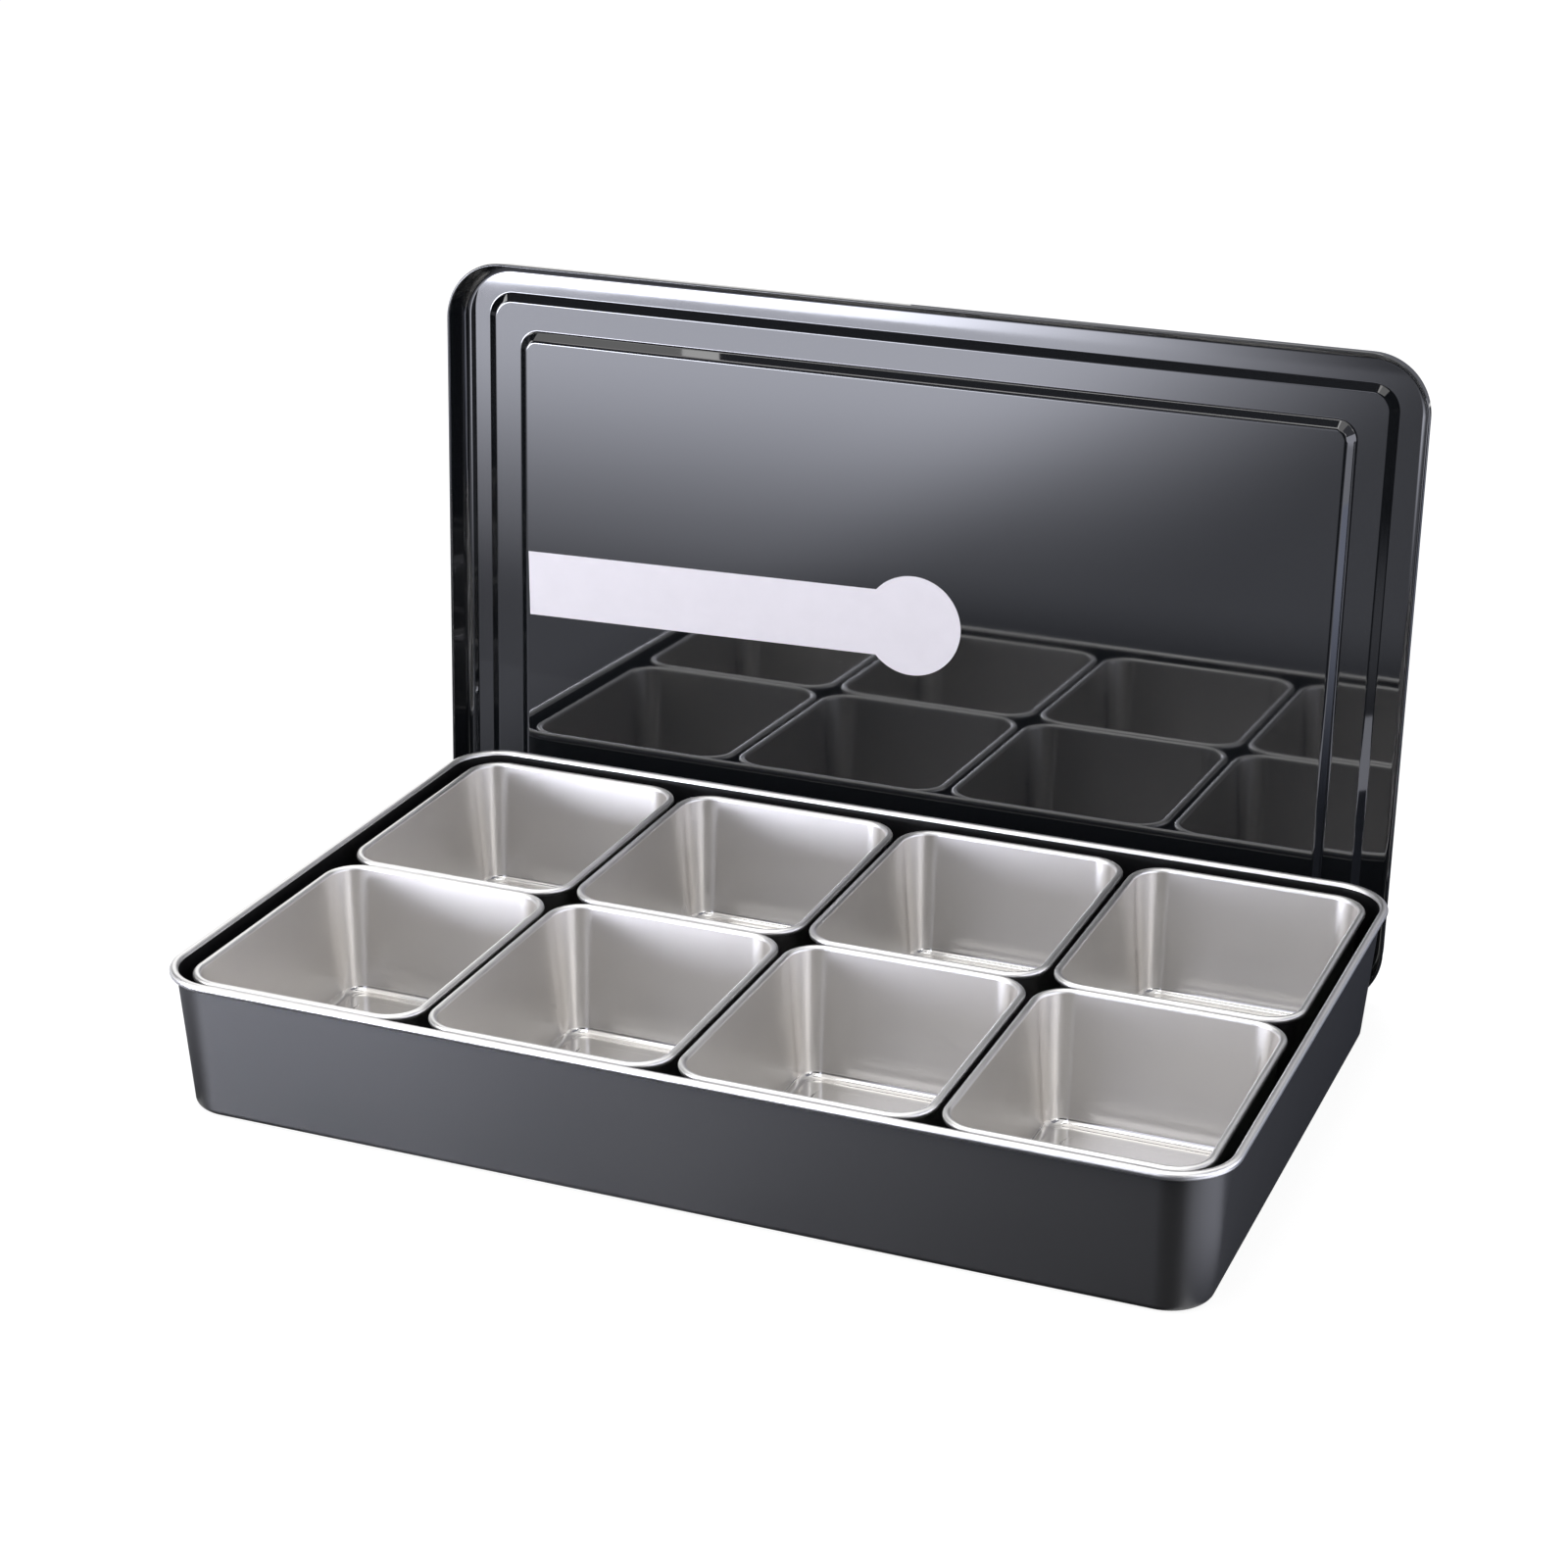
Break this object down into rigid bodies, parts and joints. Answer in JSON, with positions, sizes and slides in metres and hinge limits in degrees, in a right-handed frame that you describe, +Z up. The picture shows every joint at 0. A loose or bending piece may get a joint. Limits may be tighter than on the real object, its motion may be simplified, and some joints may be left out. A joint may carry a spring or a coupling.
{
  "type": "bar garnish tray",
  "caption": "Deep black pressed-steel tray with a bare rolled edge, holding loose open steel pans side by side, with its stepped black lid standing behind it.",
  "frame": {"origin": "middle of the tray's underside, on the surface it stands on", "axes": "+X along the tray's length to the right, +Y to the back where the lid stands, +Z up"},
  "size_m": [0.4175, 0.2857, 0.2649],
  "materials": {
    "tray_coat": "satin black coat, with the rolled edge left as bare polished steel",
    "lid_coat": "gloss black coat",
    "pan_steel": "satin inside, polished on the bead"
  },
  "bodies": {
    "tray": {"tray": "tray_coat"},
    "lid": {"lid": "lid_coat"},
    "pan_front_1": {"pan_front_1": "pan_steel"},
    "pan_front_2": {"pan_front_2": "pan_steel"},
    "pan_front_3": {"pan_front_3": "pan_steel"},
    "pan_front_4": {"pan_front_4": "pan_steel"},
    "pan_back_1": {"pan_back_1": "pan_steel"},
    "pan_back_2": {"pan_back_2": "pan_steel"},
    "pan_back_3": {"pan_back_3": "pan_steel"},
    "pan_back_4": {"pan_back_4": "pan_steel"}
  },
  "joints": [
    {"name": "lid_lift", "type": "slide", "parent": "tray", "child": "lid", "axis": [0, 0, 1], "range_m": [0, 0.12]},
    {"name": "pan_front_1_lift", "type": "slide", "parent": "tray", "child": "pan_front_1", "axis": [0, 0, 1], "range_m": [0, 0.08]},
    {"name": "pan_front_2_lift", "type": "slide", "parent": "tray", "child": "pan_front_2", "axis": [0, 0, 1], "range_m": [0, 0.08]},
    {"name": "pan_front_3_lift", "type": "slide", "parent": "tray", "child": "pan_front_3", "axis": [0, 0, 1], "range_m": [0, 0.08]},
    {"name": "pan_front_4_lift", "type": "slide", "parent": "tray", "child": "pan_front_4", "axis": [0, 0, 1], "range_m": [0, 0.08]},
    {"name": "pan_back_1_lift", "type": "slide", "parent": "tray", "child": "pan_back_1", "axis": [0, 0, 1], "range_m": [0, 0.08]},
    {"name": "pan_back_2_lift", "type": "slide", "parent": "tray", "child": "pan_back_2", "axis": [0, 0, 1], "range_m": [0, 0.08]},
    {"name": "pan_back_3_lift", "type": "slide", "parent": "tray", "child": "pan_back_3", "axis": [0, 0, 1], "range_m": [0, 0.08]},
    {"name": "pan_back_4_lift", "type": "slide", "parent": "tray", "child": "pan_back_4", "axis": [0, 0, 1], "range_m": [0, 0.08]}
  ]
}
